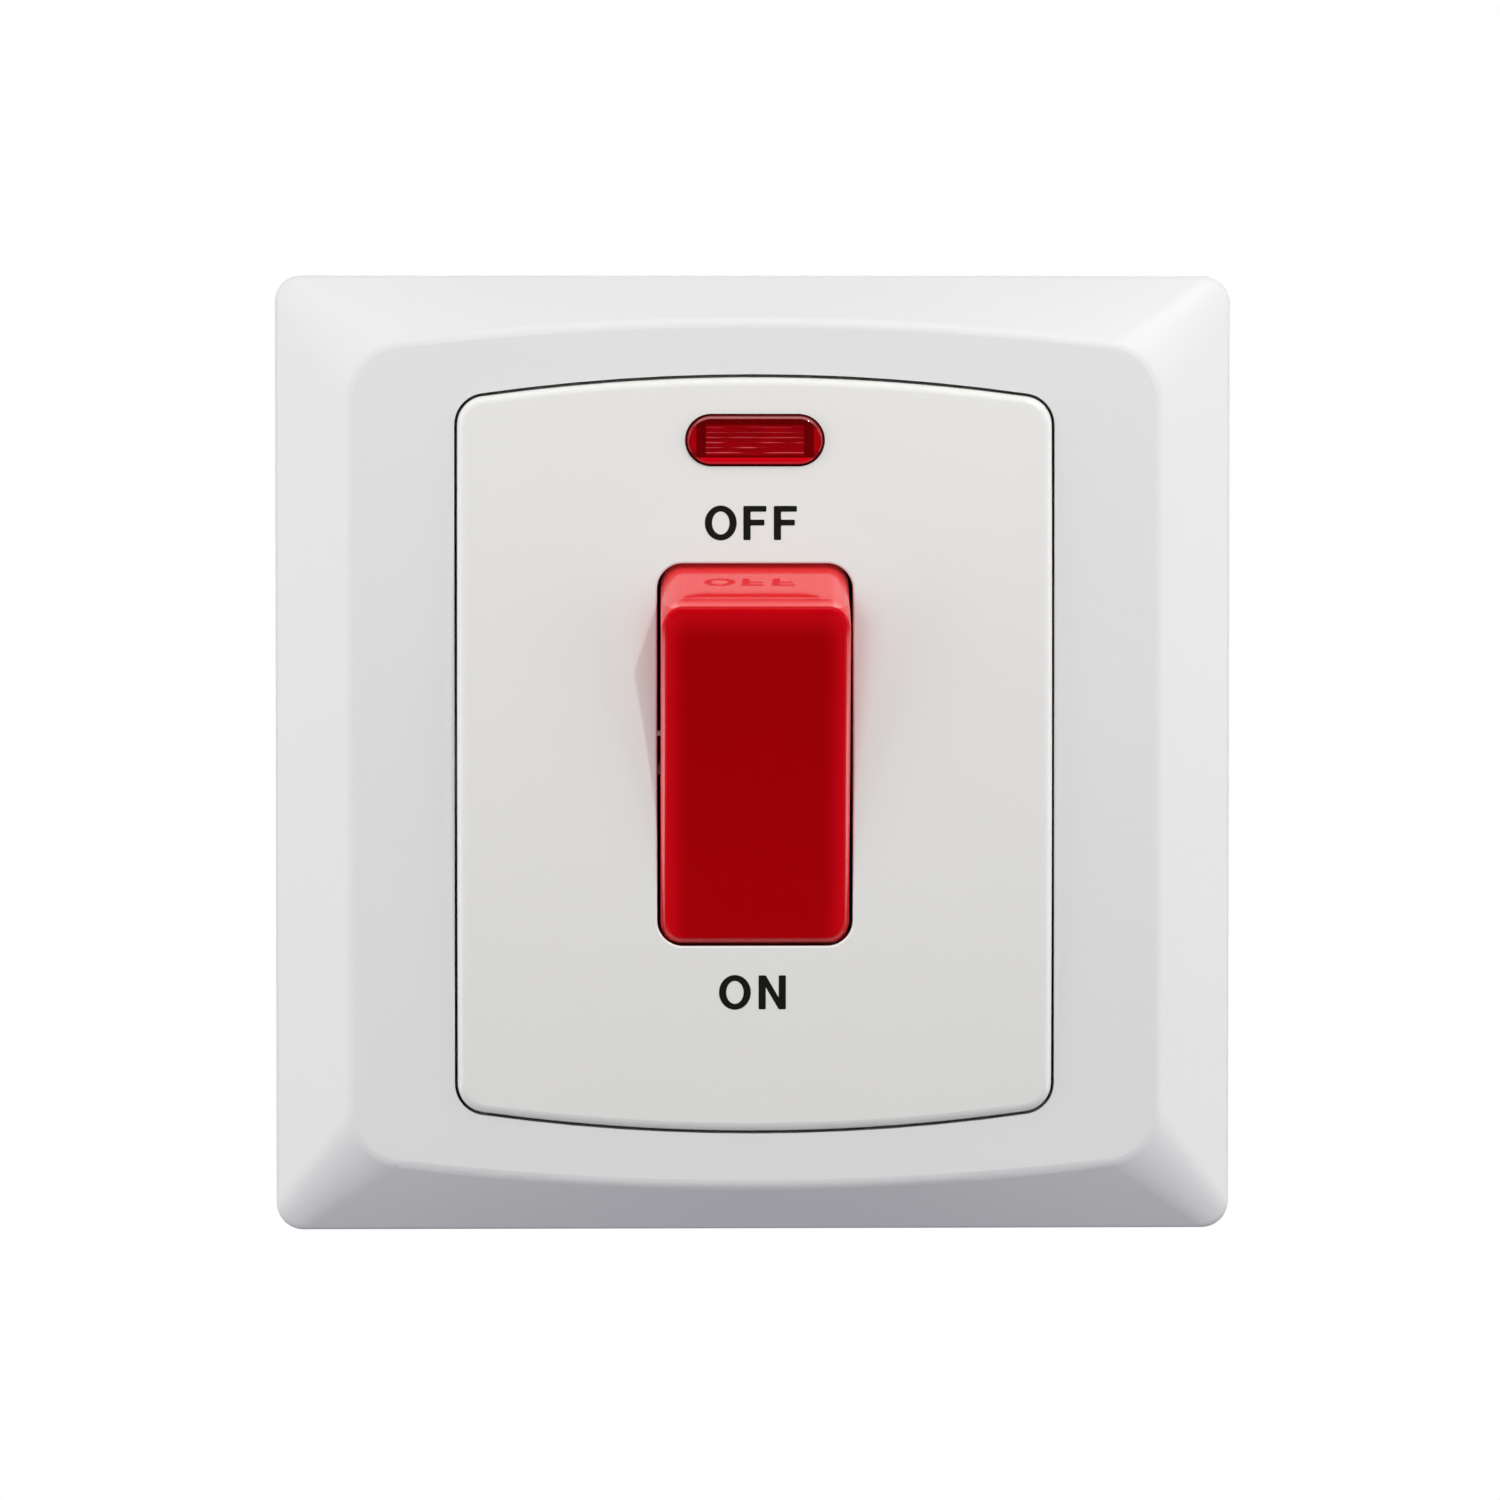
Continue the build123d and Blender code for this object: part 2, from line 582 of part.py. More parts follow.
def rear_housing():
    # Box behind the plate, stepped back between the terminals, with a flange inside the skirt
    rear_step = terminal_inner - TERMINAL_FIT - STEP_WALL
    box = slab(Rectangle(2 * housing_x, 2 * housing_y), housing_rear, HOUSING_FLANGE)
    box = fillet(box.edges().filter_by(Axis.Z), HOUSING_CORNER)
    box -= span_box(
        (-housing_x - OVERCUT, housing_x + OVERCUT),
        (-rear_step, rear_step),
        (housing_rear - OVERCUT, cell_floor - HOUSING_WALL),
    )
    box = fillet(level_edges(box, housing_rear), HOUSING_EDGE_R)
    box += slab(centre_outline(-SKIRT_WALL - HOUSING_FLANGE_FIT), 0, HOUSING_FLANGE)

    # Tray behind the face, and the deeper cell of the mechanism
    tray_y = housing_y - HOUSING_WALL
    box -= span_box((-cell_x, cell_x), (-tray_y, tray_y), (tray_floor, HOUSING_FLANGE + OVERCUT))
    box -= span_box((-cell_x, cell_x), (-cell_y, cell_y), (cell_floor, HOUSING_FLANGE))

    # Cradle for the lamp
    cradle_x = LAMP_LENGTH / 2 + LAMP_PINCH + LAMP_FIT
    box -= rod_x(LAMP_D + 2 * LAMP_FIT, (-cradle_x, cradle_x), lens_y, lamp_z)

    # Pole divider, and keepers that close the bearings from behind
    box += span_box(
        (-DIVIDER_WALL / 2, DIVIDER_WALL / 2),
        (-cell_y, cell_y),
        (cell_floor, pivot_z - HUB_D / 2 - OVERCUT),
    )
    keeper = PIN_D / 2 + PIN_FIT - KEEPER_GAP
    keeper_top = pivot_z - PIN_D / 2 - PIN_FIT
    for side in POLES.values():
        x = sorted((side * bearing_x, side * cell_x))
        box += span_box(x, (-keeper, keeper), (cell_floor, keeper_top))
        for edge in (-1, 1):
            near = side * pole_x + edge * (SEESAW_WIDTH / 2 + SEESAW_SIDE_GAP)
            guide_x = sorted((near, near + edge * GUIDE_WALL))
            guide_y = (-GUIDE_LENGTH / 2, GUIDE_LENGTH / 2)
            box += span_box(guide_x, guide_y, (cell_floor, fulcrum_z + GUIDE_HEIGHT))

    # Terminal pockets open at the ends, with strip slots and wells for the clamp screws
    half = TERMINAL_WIDTH / 2 + TERMINAL_FIT
    pocket_z = (terminal_rear - TERMINAL_FIT, terminal_front + TERMINAL_FIT)
    slot = STRIP_WIDTH / 2 + STRIP_FIT
    for side in POLES.values():
        for end in (-1, 1):
            x = side * pole_x
            pocket_y = sorted((end * (terminal_inner - TERMINAL_FIT), end * (housing_y + OVERCUT)))
            slot_y = sorted((end * cell_y, end * terminal_inner))
            box -= span_box((x - half, x + half), pocket_y, pocket_z)
            box -= span_box((x - slot, x + slot), slot_y, (cell_floor, strip_z + STRIP_FIT))
            for y in clamp_screw_places():
                well_z = (housing_rear - OVERCUT, terminal_rear)
                box -= rod_z(CLAMP_HEAD_D + 2 * HEAD_CLEARANCE, x, end * y, well_z)

    # Bosses that meet the plate's posts, with deep wells for the housing screws
    seat = POST_END - HOUSING_SCREW_SEAT
    for y in (-post_y, post_y):
        box += rod_z(POST_D, 0, y, (tray_floor, POST_END))
        box -= rod_z(HOUSING_SCREW_D + 2 * SCREW_FIT, 0, y, (seat - OVERCUT, POST_END + OVERCUT))
        well = HOUSING_HEAD_D + 2 * HEAD_CLEARANCE
        box -= rod_z(well, 0, y, (housing_rear - OVERCUT, seat))

    # Holes that let the lamp's wires through to the load terminals
    for side in POLES.values():
        hole_z = (terminal_front, tray_floor + OVERCUT)
        box -= rod_z(LEAD_D + 2 * LAMP_FIT, side * pole_x, terminal_y, hole_z)
    return box


def neon_lens():
    # Clear stadium cap with a soft front edge and a rim behind the plate
    crown_drop = lens_y**2 / (2 * CROWN_R)
    front = CENTRE_FACE - crown_drop + LENS_STAND
    lens = slab(SlotOverall(LENS_WIDTH, LENS_HEIGHT), lens_back, front)
    lens = fillet(level_edges(lens, front), LENS_EDGE_R)
    rim = SlotOverall(LENS_WIDTH + 2 * LENS_RIM, LENS_HEIGHT + 2 * LENS_RIM)
    lens += slab(rim, lens_back, plate_ceiling)

    # Hollow back, with fine half-round ribs along the panel that is left
    width = LENS_WIDTH - 2 * LENS_END_WALL
    height = LENS_HEIGHT - 2 * LENS_SIDE_WALL
    panel_back = front - LENS_PANEL
    lens -= slab(RectangleRounded(width, height, LENS_HOLLOW_CORNER), lens_back - OVERCUT, panel_back)
    for index in range(LENS_RIB_COUNT):
        y = (index - (LENS_RIB_COUNT - 1) / 2) * LENS_RIB_PITCH
        lens += rod_x(LENS_RIB_D, (-LENS_RIB_LENGTH / 2, LENS_RIB_LENGTH / 2), y, panel_back)
    return Pos(0, lens_y, 0) * lens


def neon_lamp():
    # Glass tube with a domed end on the left and a pinched seal on the right
    half = LAMP_LENGTH / 2
    radius = LAMP_D / 2
    tube = rod_x(LAMP_D, (radius - half, half), 0, 0)
    tube += Pos(radius - half, 0, 0) * Sphere(radius)
    seal = loft(
        [
            Pos(half, 0, 0) * Rot(0, 90, 0) * Circle(radius),
            Pos(half + LAMP_PINCH, 0, 0) * Rot(0, 90, 0) * Circle(LAMP_PINCH_D / 2),
        ],
        ruled=True,
    )
    return Pos(0, lens_y, lamp_z) * (tube + seal)


def wire(points, radii, diameter):
    """Round wire along straight runs joined by arcs."""
    path = FilletPolyline(*points, radius=radii)
    section = Plane(path @ 0, z_dir=path % 0) * Circle(diameter / 2)
    return sweep(section, path=path)


def live_lamp_lead():
    start_x = LAMP_LENGTH / 2 + LAMP_PINCH
    y = lens_y + LEAD_SPREAD / 2
    end_z = tray_floor + RESISTOR_STAND + RESISTOR_LENGTH
    points = [
        (start_x, y, lamp_z),
        (pole_x, y, lamp_z),
        (pole_x, terminal_y, lamp_z),
        (pole_x, terminal_y, end_z),
    ]
    return wire(points, [2 * LEAD_BEND_R, LEAD_BEND_R], LEAD_D)


def neutral_lamp_lead():
    start_x = LAMP_LENGTH / 2 + LAMP_PINCH
    turn_x = start_x + LEAD_D + LEAD_BEND_R
    y = lens_y - LEAD_SPREAD / 2
    back_y = lens_y - LAMP_D / 2 - LEAD_GAP - LEAD_D / 2
    points = [
        (start_x, y, lamp_z),
        (turn_x, y, lamp_z),
        (turn_x, back_y, lamp_z),
        (-pole_x, back_y, lamp_z),
        (-pole_x, terminal_y, lamp_z),
        (-pole_x, terminal_y, terminal_front),
    ]
    short = (y - back_y) * 0.48
    return wire(points, [short, short, 2 * LEAD_BEND_R, 2 * LEAD_BEND_R], LEAD_D)


def lamp_resistor():
    low = tray_floor + RESISTOR_STAND
    body = rod_z(RESISTOR_D, pole_x, terminal_y, (low, low + RESISTOR_LENGTH))
    body = fillet(body.edges(), RESISTOR_D / 6)
    return body + rod_z(LEAD_D, pole_x, terminal_y, (terminal_front, low + RESISTOR_D / 2))


pieces = {
    "surround_frame": surround_frame(),
    "front_plate": front_plate(),
    "rear_housing": rear_housing(),
    "rocker": rocker(),
    "neon_lens": neon_lens(),
    "neon_lamp": neon_lamp(),
    "lamp_resistor": lamp_resistor(),
    "live_lamp_lead": live_lamp_lead(),
    "neutral_lamp_lead": neutral_lamp_lead(),
    "terminal_screws": terminal_screws(),
    "housing_screws": housing_screws(),
}
for pole, side in POLES.items():
    pieces[pole + "_plunger"] = plunger(side)
    pieces[pole + "_plunger_spring"] = plunger_spring(side)
    pieces[pole + "_moving_contact"] = moving_contact(side)
    pieces[pole + "_moving_tip"] = moving_tip(side)
    pieces[pole + "_fixed_tip"] = fixed_tip(side)
    pieces[pole + "_fulcrum_strip"] = fulcrum_strip(side)
    pieces[pole + "_contact_strip"] = contact_strip(side)
    pieces[pole + "_supply_terminal"] = terminal(side, -1)
    pieces[pole + "_load_terminal"] = terminal(side, 1)

os.makedirs("parts", exist_ok=True)
for name, piece in pieces.items():
    export_step(Rot(90, 0, 0) * piece, f"parts/{name}.step")
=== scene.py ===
from math import cos, radians, sin

import bpy
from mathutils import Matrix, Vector


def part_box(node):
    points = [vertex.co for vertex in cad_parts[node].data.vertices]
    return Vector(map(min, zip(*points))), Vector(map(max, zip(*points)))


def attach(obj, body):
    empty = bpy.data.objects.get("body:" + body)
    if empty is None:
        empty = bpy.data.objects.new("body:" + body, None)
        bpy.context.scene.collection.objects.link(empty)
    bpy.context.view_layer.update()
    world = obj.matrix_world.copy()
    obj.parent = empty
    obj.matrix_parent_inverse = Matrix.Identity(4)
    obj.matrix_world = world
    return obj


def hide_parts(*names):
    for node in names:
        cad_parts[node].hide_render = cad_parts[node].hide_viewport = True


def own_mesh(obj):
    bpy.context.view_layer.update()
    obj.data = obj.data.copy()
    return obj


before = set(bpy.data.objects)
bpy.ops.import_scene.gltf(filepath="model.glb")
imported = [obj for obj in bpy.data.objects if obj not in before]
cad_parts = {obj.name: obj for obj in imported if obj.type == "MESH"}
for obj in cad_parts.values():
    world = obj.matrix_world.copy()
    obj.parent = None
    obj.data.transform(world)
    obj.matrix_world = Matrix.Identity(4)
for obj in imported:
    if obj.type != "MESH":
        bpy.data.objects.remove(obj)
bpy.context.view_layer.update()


# Rear housing: one grey moulding of thermoset plastic that holds the terminals and contacts.
# It is pressed in a hot tool, which leaves a dull skin with a fine grain and faint flow marks.
# Two screws from behind hold it to the front plate.
MM = 0.001


class Value:
    """A socket of a material's nodes; sums on it add Math nodes."""

    def __init__(self, socket):
        self.socket = socket

    def feed(self, target):
        self.socket.id_data.links.new(self.socket, target)

    def reckon(self, operation, *terms):
        node = self.socket.id_data.nodes.new("ShaderNodeMath")
        node.operation = operation
        for target, term in zip(node.inputs, terms):
            if isinstance(term, Value):
                term.feed(target)
            else:
                target.default_value = term
        return Value(node.outputs[0])

    def __add__(self, other):
        return self.reckon("ADD", self, other)

    __radd__ = __add__

    def __sub__(self, other):
        return self.reckon("SUBTRACT", self, other)

    def __rsub__(self, other):
        return self.reckon("SUBTRACT", other, self)

    def __mul__(self, other):
        return self.reckon("MULTIPLY", self, other)

    __rmul__ = __mul__

    def __pow__(self, power):
        return self.reckon("POWER", self, power)

    def __gt__(self, limit):
        return self.reckon("GREATER_THAN", self, limit)

    def __abs__(self):
        return self.reckon("ABSOLUTE", self)

    def at_least(self, limit):
        return self.reckon("MAXIMUM", self, limit)


class Nodes:
    """The nodes of a material or of the world."""

    def __init__(self, owner):
        owner.use_nodes = True
        self.tree = owner.node_tree

    def node(self, kind, settings=None, inputs=None, output=0):
        """Adds a node of any type: its settings first, then its sockets' values or links."""
        node = self.tree.nodes.new("ShaderNode" + kind)
        for name, value in (settings or {}).items():
            setattr(node, name, value)
        for name, value in (inputs or {}).items():
            if isinstance(value, Value):
                value.feed(node.inputs[name])
            else:
                node.inputs[name].default_value = value
        if node.outputs:
            return Value(node.outputs[output])

    def ramp(self, value, low, high):
        """Smooth rise from 0 to 1 as a value goes from low to high."""
        inputs = {"Value": value, "From Min": low, "From Max": high}
        return self.node("MapRange", {"interpolation_type": "SMOOTHSTEP"}, inputs)

    def along(self, spot, way):
        """How far a spot lies along a direction."""
        return self.node("VectorMath", {"operation": "DOT_PRODUCT"}, {0: spot, 1: way}, "Value")


class Finish(Nodes):
    """A material named for its finish, with the same values all over set on the shader itself."""

    def __init__(self, name, **same_all_over):
        self.material = bpy.data.materials.new(name)
        super().__init__(self.material)
        self.shader = self.tree.nodes["Principled BSDF"]
        for socket, value in same_all_over.items():
            self.shader.inputs[socket.replace("_", " ")].default_value = value

    def place(self, stretch=(1, 1, 1)):
        """Place on the piece in millimetres, drawn out along an axis by a small factor."""
        spot = self.node("TexCoord", output="Object")
        scale = [factor / MM for factor in stretch]
        return self.node("Mapping", {"vector_type": "POINT"}, {"Vector": spot, "Scale": scale})

    def noise(self, size, detail=2, stretch=(1, 1, 1)):
        """Uneven value from 0 to 1 whose patches are about as large as the size in millimetres."""
        inputs = {"Vector": self.place(stretch), "Scale": 1 / size, "Detail": detail}
        return self.node("TexNoise", {"noise_dimensions": "3D"}, inputs)

    def blend(self, share, low, high):
        """Colour between two, either of which may vary too, by a share from 0 to 1."""
        low, high = (c if isinstance(c, Value) else (*c, 1) for c in (low, high))
        inputs = {"Factor": share, 6: low, 7: high}
        return self.node("Mix", {"data_type": "RGBA"}, inputs, output=2)

    def bump(self, height, depth):
        """Surface direction for a height from 0 to 1 that stands a depth in millimetres."""
        inputs = {"Height": height, "Distance": depth * MM, "Strength": 1}
        return self.node("Bump", None, inputs)

    def show(self, **varying):
        """Links what changes over the surface to the shader."""
        for socket, value in varying.items():
            value.feed(self.shader.inputs[socket.replace("_", " ")])
        return self

    def cover(self, share, colour):
        """Hides the shine under a dull skin of a colour, by a share from 0 to 1."""
        skin = {"Base Color": colour, "Roughness": 0.5, "Specular IOR Level": 0.0}
        dull = self.node("BsdfPrincipled", None, skin)
        shiny = Value(self.shader.outputs[0])
        both = self.node("MixShader", None, {0: share, 1: shiny, 2: dull})
        both.feed(self.tree.nodes["Material Output"].inputs["Surface"])
        return self

    def on(self, *names):
        """Gives the finish to CAD nodes."""
        for name in names:
            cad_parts[name].material_slots[0].material = self.material


housing = Finish("housing_grey_moulded", Specular_IOR_Level=0.45)
flow = housing.noise(11, 4, (1, 1, 0.35))
speck = housing.noise(0.6)
grain = housing.noise(0.35, 3)
mottle = 0.75 * flow + 0.25 * speck
housing.show(
    Base_Color=housing.blend(mottle, (0.46, 0.46, 0.45), (0.60, 0.60, 0.58)),
    Roughness=0.42 + 0.22 * grain,
    Normal=housing.bump(grain, 0.02),
).on("rear_housing")


# Tunnel terminals: four blocks cut from drawn brass bar, drilled for the cable and tapped.
# The saw and drill leave fine lines across the bright metal, and handling dulls it in patches.
# Each is trapped in a pocket of the housing.
brass = Finish("terminal_brass_cut", Metallic=1.0)
sawn = brass.noise(0.9, 3, (1, 12, 1))
patch = brass.noise(4, 3)
brass.show(
    Base_Color=brass.blend(patch, (0.62, 0.42, 0.15), (0.83, 0.62, 0.28)),
    Roughness=0.20 + 0.16 * patch + 0.10 * sawn,
    Normal=brass.bump(sawn, 0.012),
)
for pole in ("live", "neutral"):
    brass.on(pole + "_supply_terminal", pole + "_load_terminal")


# Clamp screws and housing screws: slotted cheese heads turned from mild steel, zinc plated.
# The plating is bright with a faint blue and straw bloom, and turning leaves fine rings.
# Two clamp the cable in each terminal, and two from behind hold the housing.
zinc = Finish("screw_zinc_plated", Metallic=1.0)
bloom = zinc.noise(1.6, 3)
turned = zinc.noise(0.25)
zinc.show(
    Base_Color=zinc.blend(bloom, (0.56, 0.57, 0.60), (0.72, 0.70, 0.64)),
    Roughness=0.24 + 0.14 * bloom + 0.08 * turned,
    Normal=zinc.bump(turned, 0.008),
).on("terminal_screws", "housing_screws")


# Contact strips, knife-edge strips and see-saw bars: stamped from rolled copper alloy strip.
# Rolling leaves lines along the strip, and the sheet has warm heat tints.
# The strips stand in the terminals, and the bars rock on the knife edges.
strip = Finish("contact_copper_rolled", Metallic=1.0)
rolled = strip.noise(0.7, 3, (8, 8, 0.5))
tint = strip.noise(3)
strip.show(
    Base_Color=strip.blend(tint, (0.62, 0.33, 0.18), (0.80, 0.48, 0.30)),
    Roughness=0.22 + 0.15 * rolled,
    Normal=strip.bump(rolled, 0.01),
)
for pole in ("live", "neutral"):
    strip.on(pole + "_moving_contact", pole + "_fulcrum_strip", pole + "_contact_strip")


# Contact tips: rivets of silver alloy, headed over in the see-saw bars and the contact strips.
# They are smooth, with a grey bloom of tarnish.
silver = Finish("tip_silver_alloy", Metallic=1.0)
tarnish = silver.noise(0.8, 4)
silver.show(
    Base_Color=silver.blend(tarnish, (0.62, 0.61, 0.58), (0.88, 0.87, 0.84)),
    Roughness=0.16 + 0.25 * tarnish,
    Normal=silver.bump(tarnish, 0.006),
)
for pole in ("live", "neutral"):
    silver.on(pole + "_moving_tip", pole + "_fixed_tip")


# Plungers and springs: turned acetal pins pushed on the see-saws by coils of drawn steel wire.
# The pins have a waxy dull white skin, and the wire a dark oiled shine with drawing lines.
# Each coil stands in a bore of the rocker's leg and shortens as its pin is pressed in.
TILT = radians(8.7)
PIVOT = Vector((0, 0.9 * MM, 0))
POLE_X = 12.8 * MM
WIRE = 0.44 * MM
COIL_RADIUS = 1.225 * MM
TURNS = 5
BORE_TOP = 1.0 * MM
PIN_TOP = -4.5 * MM
SEAT_GAP = 0.005 * MM
face_out = Vector((0, -cos(TILT), -sin(TILT)))
coil_low = PIN_TOP + SEAT_GAP + WIRE / 2
coil_high = BORE_TOP - SEAT_GAP - WIRE / 2

acetal = Finish("plunger_white_turned", Subsurface_Weight=0.2, Subsurface_Scale=0.8 * MM)
ring = acetal.noise(0.4, 2, (0.3, 2, 0.3))
acetal.show(
    Base_Color=acetal.blend(ring, (0.76, 0.75, 0.70), (0.84, 0.83, 0.79)),
    Roughness=0.38 + 0.18 * ring,
    Normal=acetal.bump(ring, 0.008),
).on("live_plunger", "neutral_plunger")

spring = Finish("spring_steel_drawn", Metallic=1.0)
drawn = spring.noise(0.3, 3)
spring.show(
    Base_Color=spring.blend(drawn, (0.33, 0.33, 0.34), (0.52, 0.52, 0.53)),
    Roughness=0.22 + 0.16 * drawn,
    Normal=spring.bump(drawn, 0.006),
)

bpy.ops.object.select_all(action="DESELECT")
section = {"vertices": 16, "radius": WIRE / 2, "location": (COIL_RADIUS, 0, coil_low)}
bpy.ops.mesh.primitive_circle_add(rotation=(radians(90), 0, 0), **section)
bpy.ops.object.transform_apply(location=True, rotation=True, scale=True)
coil = bpy.context.object
wind = coil.modifiers.new("wind", "SCREW")
wind.axis = "Z"
wind.steps = wind.render_steps = 36
wind.iterations = TURNS
wind.screw_offset = (coil_high - coil_low) / TURNS
bpy.ops.object.modifier_apply(modifier=wind.name)
bpy.ops.object.mode_set(mode="EDIT")
bpy.ops.mesh.select_all(action="SELECT")
bpy.ops.mesh.fill_holes(sides=0)
bpy.ops.mesh.select_all(action="SELECT")
bpy.ops.mesh.normals_make_consistent(inside=False)
bpy.ops.object.mode_set(mode="OBJECT")
bpy.ops.object.shade_smooth_by_angle(angle=radians(50))
coil.data.materials.append(spring.material)
coil.rotation_euler = (radians(90) + TILT, 0, 0)
coil.location = PIVOT + Vector((POLE_X, 0, 0))
bpy.ops.object.transform_apply(location=True, rotation=True, scale=True)
bpy.ops.object.duplicate()
other_coil = bpy.context.object
other_coil.location.x -= 2 * POLE_X
bpy.ops.object.transform_apply(location=True, rotation=True, scale=True)

for pole, piece in (("live", coil), ("neutral", other_coil)):
    piece.name = piece.data.name = pole + "_spring_coil"
    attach(piece, "rocker")
    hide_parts(pole + "_plunger_spring")
    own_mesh(piece)


# Rocker: moulded in one piece of red polycarbonate, with its pins and legs, and polished.
# The plastic is a little cloudy; the glow where light would leak out of the walls along the edges
# of the face is painted into its colour. The rounded border of the face has gone dull from
# handling.
HALF_WIDTH = 8.5
HALF_LENGTH = 15.25
CORNER_RADIUS = 2.0
FACE_LEVEL = 12.2
face_up = Vector((0, -sin(TILT), cos(TILT)))
red = Finish(
    "rocker_red_polished",
    Subsurface_Weight=0.3,
    Subsurface_Radius=(1.0, 0.1, 0.06),
    Subsurface_Scale=1.0 * MM,
    IOR=1.55,
    Specular_IOR_Level=1.0,
    Coat_IOR=1.6,
    Coat_Roughness=0.02,
)
spot = red.place()
level = red.along(spot, face_out) - (PIVOT.dot(face_out) / MM + FACE_LEVEL)
climb = red.along(spot, face_up) - PIVOT.dot(face_up) / MM
past_top = climb - HALF_LENGTH
past_side = abs(red.along(spot, (1, 0, 0))) - HALF_WIDTH

# Painted glow: lighter at the sides, towards the upper end and all down the walls.
sides = red.ramp(past_side, -2.7, 0.1)
upper_end = red.ramp(past_top, -3.45, 0.55)
walls = 1 - red.ramp(level, -1.4, -0.4)
painted_glow = 1 - (1 - 0.9 * sides) * (1 - 0.9 * upper_end) * (1 - walls)
cloud = red.noise(6, 3)
# Painted light: the lower half of the face a little lighter.
painted_lighter_lower_half = 1 - red.ramp(climb, -14, 10)
painted_light_and_cloud = painted_glow + 0.05 * cloud + 0.12 * painted_lighter_lower_half
body = red.blend(painted_light_and_cloud, (0.43, 0.0006, 0.0028), (0.78, 0.0040, 0.0110))

# Painted shade on the lower end wall; a painted pale highlight on the upper one, which mirrors the
# plate.
low_wall = 1 - red.ramp(climb + HALF_LENGTH, -0.05, 0.25)
high_wall = red.ramp(past_top, -0.25, -0.05)
painted_lip_highlight = high_wall * (0.16 + 0.84 * red.ramp(level, -1.3, -0.5))
with_painted_shade = red.blend(low_wall, body, (0.12, 0.0006, 0.0012))
side_edge = red.ramp(past_side, -0.6, -0.2) * red.ramp(level, -1.0, -0.6)
top_corner = red.ramp(past_side, -1.7, -0.7) * red.ramp(past_top, -3.25, -0.75)
peel = red.noise(1.2)
red.show(
    Base_Color=red.blend(painted_lip_highlight, with_painted_shade, (0.98, 0.170, 0.175)),
    Roughness=0.02 + 0.02 * peel + 0.16 * top_corner + 0.25 * side_edge,
    Coat_Weight=0.55 * high_wall,
    Normal=red.bump(1 - red.ramp(level, -1.6, -0.2), 0.06),
)

# The dull border follows the face's rounded upper corners.
from_side = (past_side + CORNER_RADIUS).at_least(0)
from_top = (past_top + CORNER_RADIUS).at_least(0)
border = (from_side * from_side + from_top * from_top) ** 0.5
rounded = red.ramp(border, 1.2, 1.5) * red.ramp(level, -0.5, -0.3)
# The dull skin is coloured with the painted glow in a darker red.
red.cover(
    rounded * (0.45 + 0.49 * red.ramp(past_top, -3.45, -1.45)),
    red.blend(painted_glow, (0.33, 0.0004, 0.0020), (0.60, 0.0014, 0.0065)),
).on("rocker")


# Neon lamp with its resistor and sleeved wires: a small gas lamp that lights the lens.
# Clear glass, a lacquered resistor body and cream sleeving with a soft dull skin.
# The wires are pushed into the load terminals and hold the lamp behind the lens.
glass = Finish("lamp_glass_clear", Transmission_Weight=1.0, IOR=1.47)
smear = glass.noise(2, 3)
glass.show(
    Base_Color=glass.blend(smear, (0.86, 0.80, 0.74), (0.94, 0.90, 0.86)),
    Roughness=0.02 + 0.08 * smear,
).on("neon_lamp")
lacquer = Finish("resistor_tan_lacquer", Coat_Roughness=0.1)
dapple = lacquer.noise(0.7, 3)
lacquer.show(
    Base_Color=lacquer.blend(dapple, (0.46, 0.32, 0.16), (0.58, 0.43, 0.24)),
    Roughness=0.3 + 0.15 * dapple,
    Normal=lacquer.bump(dapple, 0.02),
).on("lamp_resistor")
sleeve = Finish("lead_sleeve_cream")
weave = sleeve.noise(0.3, 3)
sleeve.show(
    Base_Color=sleeve.blend(weave, (0.66, 0.62, 0.52), (0.78, 0.75, 0.66)),
    Roughness=0.6 + 0.2 * weave,
    Normal=sleeve.bump(weave, 0.02),
).on("live_lamp_lead", "neutral_lamp_lead")


# Neon lens: clear red polycarbonate cap, polished and pushed into the plate from behind.
# Painted light: the end walls and lower wall lighter as if piping light to the front, and broken
# highlights on the fine ribs behind the panel and a line under the upper edge; painted shade on
# the rim and top.
LENS_END = 6.15
LENS_SIDE = 2.25
RIB_PITCH = 0.45
RIB_END = 4.40
RIB_SIDE = 1.35
lens_low, lens_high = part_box("neon_lens")
lens = Finish("lens_red_clear", Transmission_Weight=0.2, IOR=1.55, Specular_IOR_Level=1.0)
spot = lens.place()
across = abs(lens.along(spot, (1, 0, 0)))
up = lens.along(spot, (0, 0, 1)) - (lens_low.z + lens_high.z) / (2 * MM)
past_straight = (across - (LENS_END - LENS_SIDE)).at_least(0)
inset = LENS_SIDE - (past_straight * past_straight + up * up) ** 0.5

# Painted light on the ribs and on the walls behind the panel's ends and lower side; painted shade
# at the top.
painted_end_light = lens.ramp(across, LENS_END - 1.0, LENS_END - 0.8)
painted_end_light = painted_end_light * (1 - lens.ramp(abs(up), 0.8, 1.6))
painted_lower_wall_light = 1 - lens.ramp(up, 0.60 - LENS_SIDE, 0.75 - LENS_SIDE)
painted_upper_shade = lens.ramp(up, 1.0, 1.5)
ribbed = 1 - lens.ramp(across, RIB_END - 0.10, RIB_END + 0.05)
ribbed = ribbed * (1 - lens.ramp(abs(up), RIB_SIDE - 0.05, RIB_SIDE + 0.05))
crossing = lens.node("Math", {"operation": "PINGPONG"}, {0: up, 1: RIB_PITCH / 2})
crown = lens.ramp(crossing, RIB_PITCH * 0.36, RIB_PITCH * 0.48)
broken = lens.ramp(lens.noise(2.4, 3, (0.8, 1, 7)), 0.44, 0.62)
lit = 1 - 0.75 * lens.ramp(up, -0.4, 1.0)
painted_rib_glints = ribbed * crown * broken * lit
streak = lens.noise(1.6, 2, (0.6, 1, 5))
